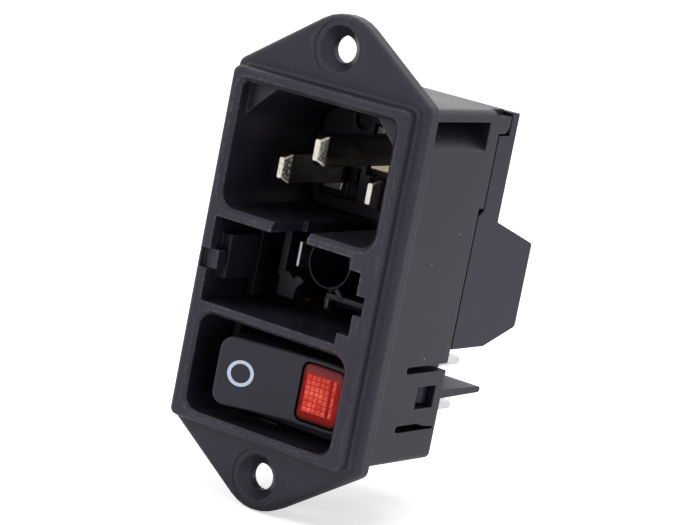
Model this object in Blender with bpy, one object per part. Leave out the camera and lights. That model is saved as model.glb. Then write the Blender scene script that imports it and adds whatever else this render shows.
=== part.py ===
"""Panel-mount power entry module: three-blade inlet, fuse drawer bay and lit double-pole rocker switch.

The origin lies at the middle of the panel cut-out, on the back face of the mounting flange.
+X is to the right seen from the front, +Y goes back through the panel and +Z is up.
Depths count from the front face of the bezel and grow towards the back.
"""
import math

import bmesh
import bpy
from mathutils import Matrix, Vector

mm = 0.001

# Flange and its screw ears
flangeLength = 65.0 * mm
flangeWidth = 30.0 * mm
flangeThickness = 2.5 * mm
flangeFillet = 0.9 * mm
earAngle = math.radians(34.2)
earTipRadius = 6.4 * mm
earCornerRadius = 1.4 * mm
screwPitch = 56.2 * mm
screwHoleRadius = 1.75 * mm
countersinkRadius = 3.05 * mm
spotFaceRadius = 3.75 * mm
spotFaceDepth = 0.15 * mm

# Bezel in front of the flange
bezelLength = 46.4 * mm
bezelHeight = 2.6 * mm
bezelCornerRadius = 1.0 * mm
bezelEdgeRadius = 0.5 * mm
bezelCoveRadius = 0.5 * mm

# Shell behind the flange
shellSideWall = 1.55 * mm
shellBottom = -23.3 * mm
shellTop = 23.4 * mm
shellCornerRadius = 1.0 * mm
shellDepth = 21.2 * mm
shellTopWall = 1.5 * mm
shellShoulderDepth = 22.3 * mm
shellShoulderBottom = 10.5 * mm
lugDepth = 24.7 * mm
lugBottom = 20.4 * mm
lugCornerRadius = 1.2 * mm

# Inlet recess and its blades
inletWidth = 24.1 * mm
inletBottom = 5.0 * mm
inletTop = 21.4 * mm
inletChamfer = 4.4 * mm
inletChamferWall = 1.9 * mm
inletBottomRadius = 2.2 * mm
inletLeadIn = 0.6 * mm
inletMouthDepth = 2.4 * mm
inletFloorDepth = 20.0 * mm
pocketEndDepth = 19.9 * mm
bladePitch = 14.0 * mm
bladeThickness = 2.0 * mm
bladeHeight = 4.0 * mm
bladeTipChamfer = 0.65 * mm
bladeRowHeight = 11.1 * mm
earthOffset = 4.0 * mm
bladeTipDepth = 5.0 * mm
earthTipDepth = 2.0 * mm
keyPocketNear = 4.55 * mm
keyPocketFar = 7.0 * mm
keyPocketTop = 11.35 * mm
keyPocketBottom = 6.9 * mm
keyPocketDepth = 1.9 * mm
archPocketTop = 19.8 * mm
archPocketBottom = 17.7 * mm
archPocketDepth = 1.0 * mm
bladeFootDepth = 20.6 * mm
bladeFootThickness = 0.6 * mm
bladeFootReach = 3.55 * mm
bladeFootTop = 2.3 * mm
bladeFootBottom = -3.4 * mm
bladeTailThickness = 0.8 * mm
bladeTailLength = 1.6 * mm
earthTabHeight = 6.3 * mm
earthTabDepth = 35.0 * mm

# Fuse drawer bay
fuseBayWall = 1.2 * mm
fuseBayTop = 3.64 * mm
fuseBayBottom = -7.5 * mm
fuseRimDepth = 1.5 * mm
drawerNotchLeft = -3.1 * mm
drawerNotchRight = 2.6 * mm
drawerNotchStepDepth = 7.0 * mm
drawerNotchStep = 0.7 * mm
fingerNotchDepth = 0.8 * mm
fingerLedgeReach = 1.45 * mm
fingerLedgeThickness = 1.6 * mm
fingerNotchRim = 0.5 * mm
fingerNotchTop = -0.75 * mm
fingerNotchBottom = -3.3 * mm
catchRibTop = 1.2 * mm
catchRibBottom = -4.7 * mm
catchRibDepth = 3.0 * mm
catchRibRise = 1.35 * mm
carrierDepth = 10.0 * mm
carrierBackDepth = 31.2 * mm
carrierWall = 1.0 * mm
fuseTubeRadius = 3.5 * mm
fuseTubeWall = 0.4 * mm
fuseTubeHeight = 0.0
carrierDividerPlace = 7.15 * mm
carrierShelfTop = -3.75 * mm
carrierShelfLeft = 0.2 * mm
shelfThickness = 0.75 * mm

# Switch bay and rocker switch
switchBayWall = 2.0 * mm
switchBayTop = -8.9 * mm
switchBayBottom = -21.85 * mm
switchMouthRadius = 2.0 * mm
switchLeadIn = 0.45 * mm
switchLipDepth = 7.4 * mm
switchBackDepth = 23.0 * mm
switchBossHeight = 2.5 * mm
switchBossWidth = 19.0 * mm
switchFloorDepth = 20.4 * mm
switchWall = 1.05 * mm
poleSpacing = 6.2 * mm
poleWallThickness = 1.6 * mm
barrierDepth = 34.7 * mm
barrierRoot = 1.3 * mm
barrierTip = 0.8 * mm
slotFrontDepth = 11.7 * mm
slotUpperTop = -10.2 * mm
slotLowerTop = -18.03 * mm
slotLowerBottom = -19.0 * mm
slotWidth = 0.95 * mm
slotEndRadius = 0.45 * mm
slotRampDepth = 16.7 * mm
slotRampRun = 1.1 * mm
slotRampTop = -18.4 * mm
slotLowerEndTop = -18.7 * mm
slotLowerEndDepth = 20.6 * mm
windowFrontDepth = 15.2 * mm
windowBackDepth = 19.5 * mm
windowTop = -13.05 * mm
windowBottom = -16.05 * mm
hookRise = 1.2 * mm
rockerPivotDepth = 10.0 * mm
rockerHalfThrow = math.radians(12.0)
rockerLeft = -9.25 * mm
rockerRight = 9.25 * mm
rockerHeight = 9.2 * mm
rockerReach = 7.3 * mm
rockerDish = 30.0 * mm
rockerWall = 0.9 * mm
rockerRim = 0.5 * mm
rockerSkirt = 3.0 * mm
rockerCornerRadius = 1.7 * mm
trunnionRadius = 1.2 * mm
trunnionPlay = 0.1 * mm
lensLeft = 2.25 * mm
lensWidth = 6.0 * mm
lensHeight = 7.4 * mm
lensCornerRadius = 0.8 * mm
lensRim = 0.3 * mm
lensWindowDepth = 2.0 * mm
lensThickness = 1.2 * mm
lensProud = 0.15 * mm
lensFlange = 0.6 * mm
capColumns = 12
lampRadius = 1.5 * mm
lampLength = 6.2 * mm
lampDepthInRocker = 3.7 * mm
resistorRadius = 0.9 * mm
resistorLength = 6.2 * mm
plungerReach = 7.2 * mm
plungerRadius = 0.9 * mm
plungerTravel = 0.6 * mm
plungerLegWall = 0.45 * mm
springWire = 0.25 * mm
springTurns = 5
armTilt = math.radians(8.0)
armThickness = 0.8 * mm
armLength = 13.6 * mm
armWidth = 3.2 * mm
contactRivetRadius = 1.2 * mm
contactRivetHeight = 0.5 * mm
contactPlace = 5.6 * mm
tabWidth = 4.8 * mm
tabThickness = 0.8 * mm
tabPlace = 5.6 * mm
tabEndDepth = 34.3 * mm
stripThickness = 0.6 * mm
leafThickness = 0.35 * mm
leafPlace = 4.8 * mm
inputTailPlace = -9.15 * mm
inputTailWidth = 1.7 * mm
inputTailRoom = 0.4 * mm
inputTailTop = -5.8 * mm
inputPadHalf = 1.0 * mm
inputSlotRoom = 0.5 * mm
fuseSeatWall = 1.6 * mm
leafTop = 1.65 * mm
leafBottom = -1.6 * mm
leafBackDepth = 19.2 * mm
leafTailWidth = 1.0 * mm
leafTailBottom = -8.3 * mm
endContactRadius = 2.6 * mm
endContactStem = 0.75 * mm
endContactReach = 8.0 * mm
linkThickness = 0.4 * mm
lineLinkWidth = 2.0 * mm
lineLinkTop = 12.4 * mm
lineLinkStep = 4.8 * mm
lineLinkBottom = -1.2 * mm
neutralLinkTop = 12.0 * mm
neutralLinkShoulder = 7.2 * mm
neutralLinkWidth = 2.4 * mm
neutralLinkLeft = -10.4 * mm
neutralLinkBottom = -6.7 * mm

# Rear cover
coverRoom = 2.4 * mm
coverTop = 23.15 * mm
coverWall = 1.4 * mm
hoodTop = 8.55 * mm
hoodBottom = -8.4 * mm
hoodRoom = 5.3 * mm
hoodFaceTop = 5.4 * mm
hoodFaceBottom = -6.1 * mm
hoodLowerBend = 29.3 * mm
hoodEdgeRadius = 0.6 * mm

# Fits
gap = 0.3 * mm
slide = 0.25 * mm
over = 1.0 * mm

mountPlane = bezelHeight + flangeThickness
shellWidth = inletWidth + 2 * shellSideWall
fuseBayWidth = shellWidth - 2 * fuseBayWall
switchBayWidth = shellWidth - 2 * switchBayWall
bladeTailDepth = shellShoulderDepth + gap + bladeTailLength
coverRearDepth = bladeTailDepth + coverRoom
hoodDepth = carrierBackDepth + hoodRoom
switchBossDepth = switchBackDepth + switchBossHeight
leafTailDepth = leafBackDepth - leafTailWidth
inputStripDepth = switchFloorDepth - gap - stripThickness
inputSlotDepth = inputStripDepth - inputSlotRoom
inputSlotLeft = -contactPlace - inputPadHalf - inputTailRoom
inputSlotRight = -contactPlace + inputPadHalf + inputTailRoom
switchHeight = (switchBayTop + switchBayBottom) / 2
earthHeight = bladeRowHeight + earthOffset


def depth(value):
    """World Y of a depth counted from the bezel's front face."""
    return value - mountPlane


def clearScene():
    for thing in list(bpy.data.objects):
        bpy.data.objects.remove(thing, do_unlink=True)


def material(name, colour, roughness, metallic=0.0):
    result = bpy.data.materials.new(name)
    result.use_nodes = True
    result.diffuse_color = (*colour, 1.0)
    shader = result.node_tree.nodes["Principled BSDF"]
    shader.inputs["Base Color"].default_value = (*colour, 1.0)
    shader.inputs["Roughness"].default_value = roughness
    shader.inputs["Metallic"].default_value = metallic
    return result


def meshObject(name, bm):
    """Turn a bmesh into an object of the scene, its faces turned outwards."""
    bmesh.ops.remove_doubles(bm, verts=bm.verts, dist=1e-7)
    bmesh.ops.recalc_face_normals(bm, faces=bm.faces)
    mesh = bpy.data.meshes.new(name)
    bm.to_mesh(mesh)
    bm.free()
    result = bpy.data.objects.new(name, mesh)
    bpy.context.scene.collection.objects.link(result)
    return result


def combine(body, tool, operation):
    """Apply one Boolean to body and delete the tool."""
    modifier = body.modifiers.new("combine", "BOOLEAN")
    modifier.operation = operation
    modifier.solver = "EXACT"
    modifier.object = tool
    graph = bpy.context.evaluated_depsgraph_get()
    result = bpy.data.meshes.new_from_object(body.evaluated_get(graph))
    body.modifiers.clear()
    former = body.data
    body.data = result
    bpy.data.meshes.remove(former)
    bpy.data.objects.remove(tool, do_unlink=True)


def cut(body, *tools):
    for tool in tools:
        combine(body, tool, "DIFFERENCE")


def join(body, *tools):
    for tool in tools:
        combine(body, tool, "UNION")


def dress(body, surface, smoothAngle=None):
    """Merge flat faces that belong together, shade the round ones and give the material."""
    bm = bmesh.new()
    bm.from_mesh(body.data)
    bmesh.ops.remove_doubles(bm, verts=bm.verts, dist=2e-7)
    bmesh.ops.dissolve_limit(bm, angle_limit=math.radians(0.2), verts=bm.verts, edges=bm.edges)
    bm.to_mesh(body.data)
    bm.free()
    body.data.materials.clear()
    body.data.materials.append(surface)
    if smoothAngle:
        body.data.shade_smooth()
        body.data.set_sharp_from_angle(angle=math.radians(smoothAngle))


def rounded(corners, arcStep=math.radians(18)):
    """Outline through corners (a, b, radius), each with a radius turned into an arc."""
    points = []
    count = len(corners)
    for index, (a, b, radius) in enumerate(corners):
        here = Vector((a, b))
        before = Vector(corners[index - 1][:2]) - here
        after = Vector(corners[(index + 1) % count][:2]) - here
        before.normalize()
        after.normalize()
        opening = before.angle(after)
        if radius <= 0 or opening > math.radians(179):
            points.append((a, b))
            continue
        centre = here + (before + after).normalized() * (radius / math.sin(opening / 2))
        start = here + before * (radius / math.tan(opening / 2)) - centre
        turn = math.pi - opening
        side = 1 if before.x * after.y - before.y * after.x < 0 else -1
        steps = max(2, round(turn / arcStep))
        for step in range(steps + 1):
            angle = side * turn * step / steps
            spot = centre + Vector((start.x * math.cos(angle) - start.y * math.sin(angle),
                                    start.x * math.sin(angle) + start.y * math.cos(angle)))
            points.append((spot.x, spot.y))
    return points


def box2(left, right, bottom, top, radius=0.0):
    return rounded([(left, bottom, radius), (right, bottom, radius), (right, top, radius),
                    (left, top, radius)])


def loftMesh(loops):
    """Skin through loops of equal count, closed by a face at each end."""
    bm = bmesh.new()
    rings = [[bm.verts.new(point) for point in loop] for loop in loops]
    for near, far in zip(rings, rings[1:]):
        for index, vert in enumerate(near):
            following = (index + 1) % len(near)
            bm.faces.new((vert, near[following], far[following], far[index]))
    bm.faces.new(rings[0])
    bm.faces.new(rings[-1])
    return bm


def alongY(outline, front, back, name="tool"):
    """Extrude an XZ outline from one depth to another."""
    loops = [[(x, depth(d), z) for x, z in outline] for d in (front, back)]
    return meshObject(name, loftMesh(loops))


def alongX(outline, left, right, name="tool"):
    """Extrude an outline of (depth, z) points between two x places."""
    return meshObject(name, loftMesh([[(x, depth(d), z) for d, z in outline] for x in (left, right)]))


def alongZ(outline, bottom, top, name="tool"):
    """Extrude an outline of (x, depth) points between two heights."""
    return meshObject(name, loftMesh([[(x, depth(d), z) for x, d in outline] for z in (bottom, top)]))


def block(left, right, front, back, bottom, top, name="tool"):
    return alongY(box2(left, right, bottom, top), front, back, name)


def sections(loops, name="tool"):
    """Loft between XZ outlines, each given with its depth."""
    return meshObject(name, loftMesh([[(x, depth(d), z) for x, z in outline] for outline, d in loops]))


def turned(profile, centre, direction, steps=24, name="tool"):
    """Revolve (radius, distance) points about an axis through centre; the ends lie on the axis."""
    axis = Vector(direction).normalized()
    helper = Vector((0, 0, 1)) if abs(axis.z) < 0.9 else Vector((1, 0, 0))
    side = axis.cross(helper).normalized()
    bm = bmesh.new()
    verts = [bm.verts.new(Vector(centre) + axis * along + side * radius) for radius, along in profile]
    edges = [bm.edges.new(pair) for pair in zip(verts, verts[1:])]
    bmesh.ops.spin(bm, geom=verts + edges, cent=centre, axis=axis, angle=2 * math.pi, steps=steps,
                   use_merge=True, use_duplicate=False)
    return meshObject(name, bm)


def rod(radius, start, end, steps=20, name="tool"):
    start, end = Vector(start), Vector(end)
    length = (end - start).length
    return turned([(0, 0), (radius, 0), (radius, length), (0, length)], start, end - start, steps, name)


def bevelled(body, width, picks, segments=2):
    """Round the edges whose two ends both pass the test picks."""
    bm = bmesh.new()
    bm.from_mesh(body.data)
    edges = [edge for edge in bm.edges if all(picks(vert.co) for vert in edge.verts)
             and edge.calc_face_angle(0) > math.radians(30)]
    bmesh.ops.bevel(bm, geom=edges, offset=width, offset_type="OFFSET", segments=segments,
                    affect="EDGES", profile=0.5, material=-1, clamp_overlap=True)
    bmesh.ops.recalc_face_normals(bm, faces=bm.faces)
    bm.to_mesh(body.data)
    bm.free()
    return body


def earOutline():
    """Flange outline: a rectangle whose ends taper to round screw ears."""
    tipInset = earTipRadius / math.cos(earAngle) - earTipRadius
    apex = flangeLength / 2 + tipInset
    half = flangeWidth / 2
    shoulder = apex - half * math.tan(earAngle)
    return rounded([(half, -shoulder, earCornerRadius), (half, shoulder, earCornerRadius),
                    (0, apex, earTipRadius), (-half, shoulder, earCornerRadius),
                    (-half, -shoulder, earCornerRadius), (0, -apex, earTipRadius)], math.radians(12))


def inletOutline(grow=0.0, chamfer=inletChamfer):
    """Inlet recess: rounded below, cut off at 45 degrees above."""
    half = inletWidth / 2 + grow
    top = inletTop + grow
    bottom = inletBottom - grow
    radius = max(inletBottomRadius + grow, 0.1 * mm)
    return rounded([(-half, bottom, radius), (half, bottom, radius), (half, top - chamfer, 0.5 * mm),
                    (half - chamfer, top, 0.5 * mm), (chamfer - half, top, 0.5 * mm),
                    (-half, top - chamfer, 0.5 * mm)])


def mouth(width, bottom, top, radii, leadIn):
    """Flared cutter for the front edge of an opening; radii are (lower, upper)."""
    loops = []
    for grow, at in ((leadIn + over, -over), (leadIn, 0.0), (0.0, leadIn)):
        half = width / 2 + grow
        loops.append((rounded([(-half, bottom - grow, radii[0] + grow),
                               (half, bottom - grow, radii[0] + grow),
                               (half, top + grow, radii[1] + grow), (-half, top + grow, radii[1] + grow)]),
                      at))
    return sections(loops)


def bezelBlock():
    """Raised bezel with a rounded front edge and a cove at its foot."""
    loops = []
    for step in range(3):
        angle = math.radians(45 * step)
        loops.append((bezelEdgeRadius * (math.sin(angle) - 1), bezelEdgeRadius * (1 - math.cos(angle))))
    for step in range(4):
        angle = math.radians(30 * step)
        loops.append((bezelCoveRadius * (1 - math.cos(angle)),
                      bezelHeight - bezelCoveRadius * (1 - math.sin(angle))))
    loops.append((bezelCoveRadius, bezelHeight + flangeThickness / 2))
    outlines = []
    for grow, at in loops:
        half, reach = shellWidth / 2 + grow, bezelLength / 2 + grow
        outlines.append((box2(-half, half, -reach, reach, bezelCornerRadius + grow), at))
    return sections(outlines)


def screwCutter(height):
    """Clearance hole with a countersink and a shallow round seat around it."""
    face = depth(bezelHeight)
    sink = countersinkRadius - screwHoleRadius
    profile = [(0, -over), (spotFaceRadius, -over), (spotFaceRadius, spotFaceDepth),
               (countersinkRadius, spotFaceDepth), (screwHoleRadius, spotFaceDepth + sink),
               (screwHoleRadius, flangeThickness + over), (0, flangeThickness + over)]
    return turned(profile, (0, face, height), (0, 1, 0), 28)


def frontHousing(surface):
    body = alongY(earOutline(), bezelHeight, mountPlane, "front_housing")
    face = depth(bezelHeight)
    bevelled(body, flangeFillet, lambda co: abs(co.y - face) < 1e-6, 3)
    half = shellWidth / 2
    join(body, bezelBlock(),
         alongY(box2(-half, half, shellBottom, shellTop, shellCornerRadius), mountPlane - over, shellDepth))
    for side in (-1, 1):
        inner, outer = sorted((side * (half - coverWall), side * half))
        join(body, block(inner, outer, shellDepth - over, shellShoulderDepth, shellShoulderBottom,
                         lugBottom + over))
        lug = rounded([(shellDepth - over, lugBottom, 0), (lugDepth, lugBottom, lugCornerRadius),
                       (lugDepth, shellTop - shellTopWall / 2, 0),
                       (shellDepth - over, shellTop - shellTopWall / 2, 0)])
        join(body, alongX(lug, inner, outer))
    join(body, block(coverWall - half, half - coverWall, shellDepth - over, lugDepth,
                     shellTop - shellTopWall, shellTop - 0.02 * mm))
    for height in (-screwPitch / 2, screwPitch / 2):
        cut(body, screwCutter(height))
    cut(body, mouth(inletWidth, inletBottom, inletTop, (inletBottomRadius, 0.8 * mm), inletLeadIn),
        alongY(inletOutline(), inletMouthDepth, shellDepth + over),
        alongY(rounded([(-inletWidth / 2, inletBottom, inletBottomRadius),
                        (inletWidth / 2, inletBottom, inletBottomRadius),
                        (inletWidth / 2, inletTop, 0.8 * mm), (-inletWidth / 2, inletTop, 0.8 * mm)]),
               inletLeadIn / 2, inletMouthDepth + 0.01 * mm))
    cutCornerPockets(body)
    cutFuseBay(body)
    cutSwitchBay(body)
    dress(body, surface, 35)
    return body


def cutCornerPockets(body):
    """Hollow outside each upper corner of the recess, between its 45 degree wall and the top wall."""
    under = shellTop - shellTopWall
    line = inletWidth / 2 + inletTop - inletChamfer + inletChamferWall * math.sqrt(2)
    reach = shellWidth / 2 + over
    for side in (-1, 1):
        cut(body, alongY([(side * reach, line - reach), (side * reach, under),
                          (side * (line - under), under)],
                         mountPlane, pocketEndDepth))


def drawerRimOutline():
    """Drawer opening, stepped on its right for the drawer's keying."""
    half = fuseBayWidth / 2
    left, wide, middle, near = 0.5 * mm - half, half + 0.3 * mm, half - 1.0 * mm, half - 2.8 * mm
    return [(left, fuseBayTop), (left, fuseBayBottom), (near, fuseBayBottom), (near, -6.0 * mm),
            (middle, -6.0 * mm), (middle, -3.2 * mm), (wide, -3.2 * mm), (wide, -0.7 * mm),
            (middle, -0.7 * mm), (middle, 2.15 * mm), (near, 2.15 * mm), (near, fuseBayTop)]


def cutFuseBay(body):
    half = fuseBayWidth / 2
    cut(body, alongY(drawerRimOutline(), -over, fuseRimDepth + 0.1 * mm),
        block(-half, half, fuseRimDepth, shellDepth + over, fuseBayBottom, fuseBayTop),
        block(drawerNotchLeft, drawerNotchRight, -over, drawerNotchStepDepth, fuseBayTop - 0.1 * mm,
              inletBottom + 0.1 * mm),
        block(drawerNotchLeft + drawerNotchStep, drawerNotchRight, drawerNotchStepDepth - 0.1 * mm,
              shellDepth + over, fuseBayTop - 0.1 * mm, inletBottom + 0.1 * mm))
    reach, inner = shellWidth / 2 - fingerNotchRim, half - fingerLedgeReach
    join(body, block(-reach, -inner, fingerNotchDepth / 2, fingerNotchDepth + fingerLedgeThickness,
                     fingerNotchBottom, fingerNotchTop))
    cut(body, block(-reach, over - inner, -over, fingerNotchDepth, fingerNotchBottom, fingerNotchTop))
    for side in (-1, 1):
        wall, tip = side * (half + 0.2 * mm), side * (half - catchRibRise)
        outline = [(wall, catchRibDepth), (side * half, catchRibDepth),
                   (tip, catchRibDepth + catchRibRise * 0.15), (tip, carrierDepth - gap),
                   (wall, carrierDepth - gap)]
        join(body, alongZ(outline, catchRibBottom, catchRibTop))


def cutSwitchBay(body):
    half = switchBayWidth / 2
    radius = switchMouthRadius
    cut(body, mouth(switchBayWidth, switchBayBottom, switchBayTop, (radius, radius), switchLeadIn),
        alongY(box2(-half, half, switchBayBottom, switchBayTop, radius), switchLeadIn / 2,
               switchLipDepth + 0.1 * mm),
        block(-half, half, switchLipDepth, shellDepth + over, switchBayBottom, switchBayTop))
    wallIn, wallOut = half - 0.2 * mm, shellWidth / 2 + over
    low = slotUpperTop - slotWidth
    upper = rounded([(slotFrontDepth, slotUpperTop, slotEndRadius), (shellDepth + over, slotUpperTop, 0),
                     (shellDepth + over, low, 0), (slotFrontDepth, low, slotEndRadius)])
    low = slotLowerBottom
    lower = rounded([(slotFrontDepth, low + slotWidth, slotEndRadius), (slotRampDepth, slotLowerTop, 0),
                     (slotRampDepth + slotRampRun, slotRampTop, 0), (slotLowerEndDepth, slotLowerEndTop, 0),
                     (slotLowerEndDepth, low, 0), (slotFrontDepth, low, slotEndRadius)])
    window = rounded([(windowFrontDepth, windowTop, 0), (windowBackDepth, windowTop, 0),
                      (windowBackDepth, windowBottom, 0), (windowFrontDepth, windowBottom, 0)])
    for side in (-1, 1):
        near, far = sorted((side * wallIn, side * wallOut))
        cut(body, *[alongX(outline, near, far) for outline in (upper, lower, window)])
    tail = inputTailWidth / 2 + inputTailRoom
    cut(body, block(inputSlotLeft, inputSlotRight + gap, leafTailDepth - gap, shellDepth + over,
                    switchBayTop - over,
                    fuseBayBottom + over),
        block(inputTailPlace - tail, inputTailPlace + tail, inputSlotDepth, shellDepth + over,
              switchBayTop - over,
              fuseBayBottom + over))


def hoodProfile(inset=0.0):
    """Side profile of the rear cover in (depth, z); inset gives its inside, open to the front."""
    front = shellDepth + gap - (over if inset else 0.0)
    shoulder = shellShoulderDepth + gap - (2 * over if inset else 0.0)
    upper = lugDepth + gap - (3 * over if inset else 0.0)
    radius = hoodEdgeRadius if inset == 0 else 0.2 * mm
    return rounded([(front, hoodBottom + inset, 0), (hoodLowerBend, hoodBottom + inset, 0.3 * mm),
                    (hoodDepth - inset, hoodFaceBottom + inset * 0.8, radius),
                    (hoodDepth - inset, hoodFaceTop - inset * 0.8, radius),
                    (coverRearDepth - inset, hoodTop - (inset * 0.2), 0.3 * mm if inset == 0 else 0),
                    (coverRearDepth - inset, coverTop - inset * 2, 0.3 * mm if inset == 0 else 0),
                    (upper, coverTop - inset * 2, 0), (upper, lugBottom - gap, 0),
                    (shoulder, lugBottom - gap, 0),
                    (shoulder, shellShoulderBottom - gap, 0.3 * mm if inset == 0 else 0),
                    (front, shellShoulderBottom - 1.1 * mm, 0)])


def rearCover(surface):
    """Hood over the inlet and fuse connections, one moulded shell open to the front."""
    half = shellWidth / 2
    body = alongX(hoodProfile(), -half, half, "rear_cover")
    bevelled(body, 0.35 * mm, lambda co: co.y > depth(coverRearDepth - 0.01 * mm), 2)
    cut(body, alongX(hoodProfile(coverWall), coverWall - half, half - coverWall))
    tab = earthTabHeight / 2 + slide
    cut(body, block(-0.7 * mm, 0.7 * mm, lugDepth - over, coverRearDepth + over, earthHeight - tab,
                    earthHeight + tab))
    for side in (-1, 1):
        place = side * 5.0 * mm
        join(body, block(place - 0.5 * mm, place + 0.5 * mm, carrierBackDepth + gap,
                         hoodDepth - coverWall / 2,
                         -3.6 * mm, -2.0 * mm))
    dress(body, surface, 35)
    return body


def pinCarrier(surface):
    """Insulating base that closes the inlet recess and holds its three blades."""
    seat = gap
    plug = rounded([(a * (1 - 2 * seat / inletWidth), b, 0) for a, b in
                    [(x, min(max(z, inletBottom + seat), inletTop - seat)) for x, z in inletOutline()]])
    body = alongY(plug, inletFloorDepth, shellDepth + gap + 0.3 * mm, "pin_carrier")
    half = shellWidth / 2 - coverWall - gap
    join(body, block(-half, half, shellDepth + gap, shellShoulderDepth, inletBottom - 0.9 * mm,
                     shellTop - shellTopWall - gap))
    for side in (-1, 1):
        near, far = sorted((side * keyPocketNear, side * keyPocketFar))
        middle, front, end = (near + far) / 2, inletFloorDepth - over, inletFloorDepth + archPocketDepth
        cut(body, block(near, far, front, inletFloorDepth + keyPocketDepth, keyPocketBottom, keyPocketTop),
            block(near, far, front, end, archPocketBottom, archPocketTop),
            rod((far - near) / 2, (middle, depth(front), archPocketBottom),
                (middle, depth(end), archPocketBottom), 24))
    for (place, height, thick), side in zip(bladePlaces(), (-1, 1, -1)):
        near, far = sorted((place, place + side * (bladeFootReach + slide)))
        cut(body, block(near, far, inletFloorDepth - over, bladeFootDepth + bladeFootThickness + slide,
                        height + bladeFootBottom - 0.9 * mm, height + bladeFootTop + slide))
    for place, height, thick in bladePlaces():
        wide, tall = thick / 2 + slide, bladeHeight / 2 + slide
        cut(body, block(place - wide, place + wide, inletFloorDepth - over, shellShoulderDepth + over,
                        height - tall, height + tall))
    dress(body, surface, 35)
    return body


def bladePlaces():
    """x, height and thickness of the line, neutral and earth blades."""
    return [(-bladePitch / 2, bladeRowHeight, bladeThickness),
            (bladePitch / 2, bladeRowHeight, bladeThickness),
            (0.0, earthHeight, bladeThickness)]


def chamferedBar(place, height, thick, tall, tip, end, chamfer, name):
    """Flat bar along Y whose front end is chamfered all round."""
    loops = []
    for inset, at in ((chamfer, tip), (0.0, tip + chamfer * 1.6), (0.0, end)):
        loops.append((box2(place - thick / 2 + inset, place + thick / 2 - inset, height - tall / 2 + inset,
                           height + tall / 2 - inset, 0.25 * mm), at))
    return sections(loops, name)


def bladeFoot(place, height, side):
    """Bent foot beside a blade that lies in the carrier's pocket."""
    near, far = sorted((place + side * 0.5 * mm, place + side * bladeFootReach))
    return block(near, far, bladeFootDepth, bladeFootDepth + bladeFootThickness, height + bladeFootBottom,
                 height + bladeFootTop)


def inletBlades(surface):
    names = ("line_blade", "neutral_blade")
    result = []
    for name, (place, height, thick), side in zip(names, bladePlaces(), (-1, 1)):
        body = chamferedBar(place, height, thick, bladeHeight, bladeTipDepth, shellShoulderDepth + gap,
                            bladeTipChamfer, name)
        join(body, bladeFoot(place, height, side))
        tail = bladeTailThickness / 2
        join(body, block(place - tail, place + tail, shellShoulderDepth, bladeTailDepth, height - 1.5 * mm,
                         height + 1.5 * mm))
        dress(body, surface, 35)
        result.append(body)
    place, height, thick = bladePlaces()[2]
    body = chamferedBar(place, height, thick, bladeHeight, earthTipDepth, shellShoulderDepth + gap,
                        bladeTipChamfer, "earth_blade")
    join(body, bladeFoot(place, height, -1))
    tail, tall = bladeTailThickness / 2, earthTabHeight / 2
    tab = rounded([(shellShoulderDepth + 0.1 * mm, height - tall, 0),
                   (earthTabDepth, height - tall, 1.2 * mm),
                   (earthTabDepth, height + tall, 1.2 * mm),
                   (shellShoulderDepth + 0.1 * mm, height + tall, 0)],
                  math.radians(45))
    join(body, alongX(tab, place - tail, place + tail))
    middle = depth(earthTabDepth - 3.2 * mm)
    cut(body, rod(0.8 * mm, (place - over, middle, height), (place + over, middle, height), 16))
    dress(body, surface, 35)
    result.append(body)
    return result


def fuseCarrier(surface):
    """Insert behind the drawer bay: centre tube for the fuse, dividers, shelf and webs."""
    half = fuseBayWidth / 2 - gap
    top, bottom = fuseBayTop - gap, fuseBayBottom + gap
    back = carrierBackDepth
    place, thick = carrierDividerPlace, carrierWall
    body = block(-place - thick / 2, place + thick / 2, back - thick * 1.2, back, -6.0 * mm, top,
                 "fuse_carrier")
    rear = shellDepth - 0.6 * mm
    join(body, block(-half, half, rear - thick, rear, bottom, top))
    for side in (-1, 1):
        inner, outer = sorted((side * (half - thick), side * half))
        join(body, block(inner, outer, carrierDepth, rear, bottom, top))
        inner, outer = sorted((side * (place - thick / 2), side * (place + thick / 2)))
        join(body, block(inner, outer, carrierDepth, back, -3.4 * mm, top))
    gusset = [(-7.3 * mm, -6.0 * mm), (-4.6 * mm, -6.0 * mm), (-4.5 * mm, -4.9 * mm), (-4.1 * mm, -4.05 * mm),
              (-3.5 * mm, -3.5 * mm), (-3.6 * mm, -3.15 * mm), (-4.5 * mm, -2.75 * mm),
              (-5.15 * mm, -3.4 * mm),
              (-6.0 * mm, -2.6 * mm), (-7.3 * mm, -2.6 * mm)]
    web = [(1.2 * mm, -3.1 * mm), (1.8 * mm, -2.8 * mm), (2.9 * mm, -3.9 * mm), (2.1 * mm, -4.0 * mm)]
    join(body, alongY(gusset, carrierDepth, rear), alongY(web, carrierDepth + 0.2 * mm, rear),
         block(carrierShelfLeft, place, carrierDepth + 0.3 * mm, rear, carrierShelfTop - shelfThickness,
               carrierShelfTop))
    height = fuseTubeHeight
    join(body, rod(fuseTubeRadius - 0.2 * mm, (0, depth(carrierDepth), height),
                   (0, depth(back) - 0.2 * mm, height), 32))
    bore = fuseTubeRadius - fuseTubeWall
    cut(body, rod(bore, (0, depth(carrierDepth) - over, height), (0, depth(back - fuseSeatWall), height), 32),
        rod(1.0 * mm, (0, depth(back) - 3 * over, height), (0, depth(back) + over, height), 16))
    room, tail = stripThickness / 2 + slide, inputTailWidth / 2 + inputTailRoom
    cut(body, block(-leafPlace - room, -leafPlace + room, leafTailDepth - gap, shellDepth + over, -8.0 * mm,
                    -1.0 * mm),
        block(inputTailPlace - tail, inputTailPlace + tail, inputSlotDepth, shellDepth + over, -8.0 * mm,
              inputTailTop + inputTailRoom),
        block(-leafPlace - room, -leafPlace + room, carrierDepth + 0.2 * mm, leafBackDepth + 0.5 * mm,
              leafBottom - slide, leafTop + slide))
    dress(body, surface, 35)
    return body


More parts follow.
